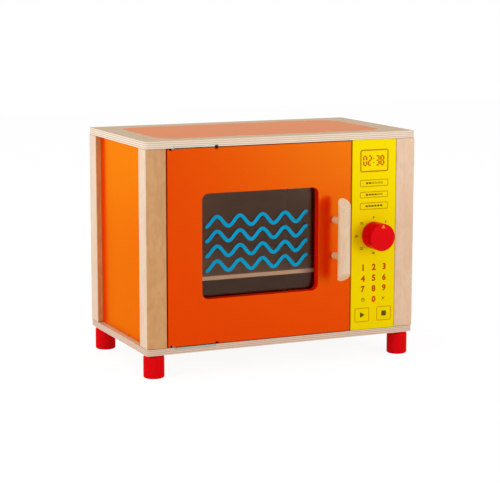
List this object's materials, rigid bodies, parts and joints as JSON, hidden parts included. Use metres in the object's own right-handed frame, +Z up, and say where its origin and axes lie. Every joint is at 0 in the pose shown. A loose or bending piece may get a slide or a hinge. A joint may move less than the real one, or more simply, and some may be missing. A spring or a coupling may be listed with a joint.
{
  "type": "toy microwave",
  "caption": "Wooden toy microwave: plywood cabinet on turned feet, hinged door with a wave-printed window and bar handle, yellow control panel with a turning knob.",
  "frame": {"origin": "on the floor under the middle of the outer box, handle included", "axes": "+X to the right seen from the front, +Y from the door to the back, +Z up"},
  "size_m": [0.4206, 0.274, 0.3335],
  "materials": {
    "birch_ply": "satin",
    "beech": "satin",
    "orange_lacquer": "satin",
    "yellow_lacquer": "satin",
    "red_lacquer": "satin",
    "smoked_acrylic": "gloss",
    "nylon": "satin",
    "zinc_steel": "satin",
    "magnet_nickel": "gloss"
  },
  "bodies": {
    "cabinet": {"top_board": "birch_ply", "bottom_board": "birch_ply", "post_front_left": "beech", "post_front_right": "beech", "post_back_left": "beech", "post_back_right": "beech", "dowel_front_left": "beech", "dowel_front_right": "beech", "dowel_back_left": "beech", "dowel_back_right": "beech", "foot_front_left": "red_lacquer", "foot_front_right": "red_lacquer", "foot_back_left": "red_lacquer", "foot_back_right": "red_lacquer", "foot_screw_front_left": "zinc_steel", "foot_screw_front_right": "zinc_steel", "foot_screw_back_left": "zinc_steel", "foot_screw_back_right": "zinc_steel", "side_panel_left": "orange_lacquer", "side_panel_right": "orange_lacquer", "back_panel": "orange_lacquer", "partition": "birch_ply", "shelf": "birch_ply", "shelf_batten_left": "beech", "shelf_batten_right": "beech", "control_panel": "yellow_lacquer", "panel_cleat": "beech", "hinge_frame_leaf_top": "zinc_steel", "hinge_frame_leaf_bottom": "zinc_steel", "hinge_pin_top": "zinc_steel", "hinge_pin_bottom": "zinc_steel", "hinge_frame_screw_top_1": "zinc_steel", "hinge_frame_screw_top_2": "zinc_steel", "hinge_frame_screw_bottom_1": "zinc_steel", "hinge_frame_screw_bottom_2": "zinc_steel", "catch_block": "beech", "catch_magnet": "magnet_nickel"},
    "door": {"door_panel": "orange_lacquer", "window_pane": "smoked_acrylic", "pane_screw_1": "zinc_steel", "pane_screw_2": "zinc_steel", "pane_screw_3": "zinc_steel", "pane_screw_4": "zinc_steel", "hinge_door_leaf_top": "zinc_steel", "hinge_door_leaf_bottom": "zinc_steel", "hinge_door_screw_top_1": "zinc_steel", "hinge_door_screw_top_2": "zinc_steel", "hinge_door_screw_bottom_1": "zinc_steel", "hinge_door_screw_bottom_2": "zinc_steel", "handle_bar": "beech", "handle_peg_lower": "beech", "handle_peg_upper": "beech", "handle_screw_lower": "zinc_steel", "handle_screw_upper": "zinc_steel", "strike_plate": "zinc_steel", "strike_screw": "zinc_steel"},
    "knob": {"knob": "red_lacquer", "knob_spindle": "beech", "knob_washer": "nylon", "knob_screw": "zinc_steel"}
  },
  "joints": [
    {"name": "door_swing", "type": "hinge", "parent": "cabinet", "child": "door", "pos_m": [-0.16865, -0.0933, 0.18325], "axis": [0, 0, -1], "range_deg": [0, 110]},
    {"name": "knob_turn", "type": "hinge", "parent": "cabinet", "child": "knob", "pos_m": [0.14415, -0.098, 0.18325], "axis": [0, -1, 0], "continuous": true}
  ]
}
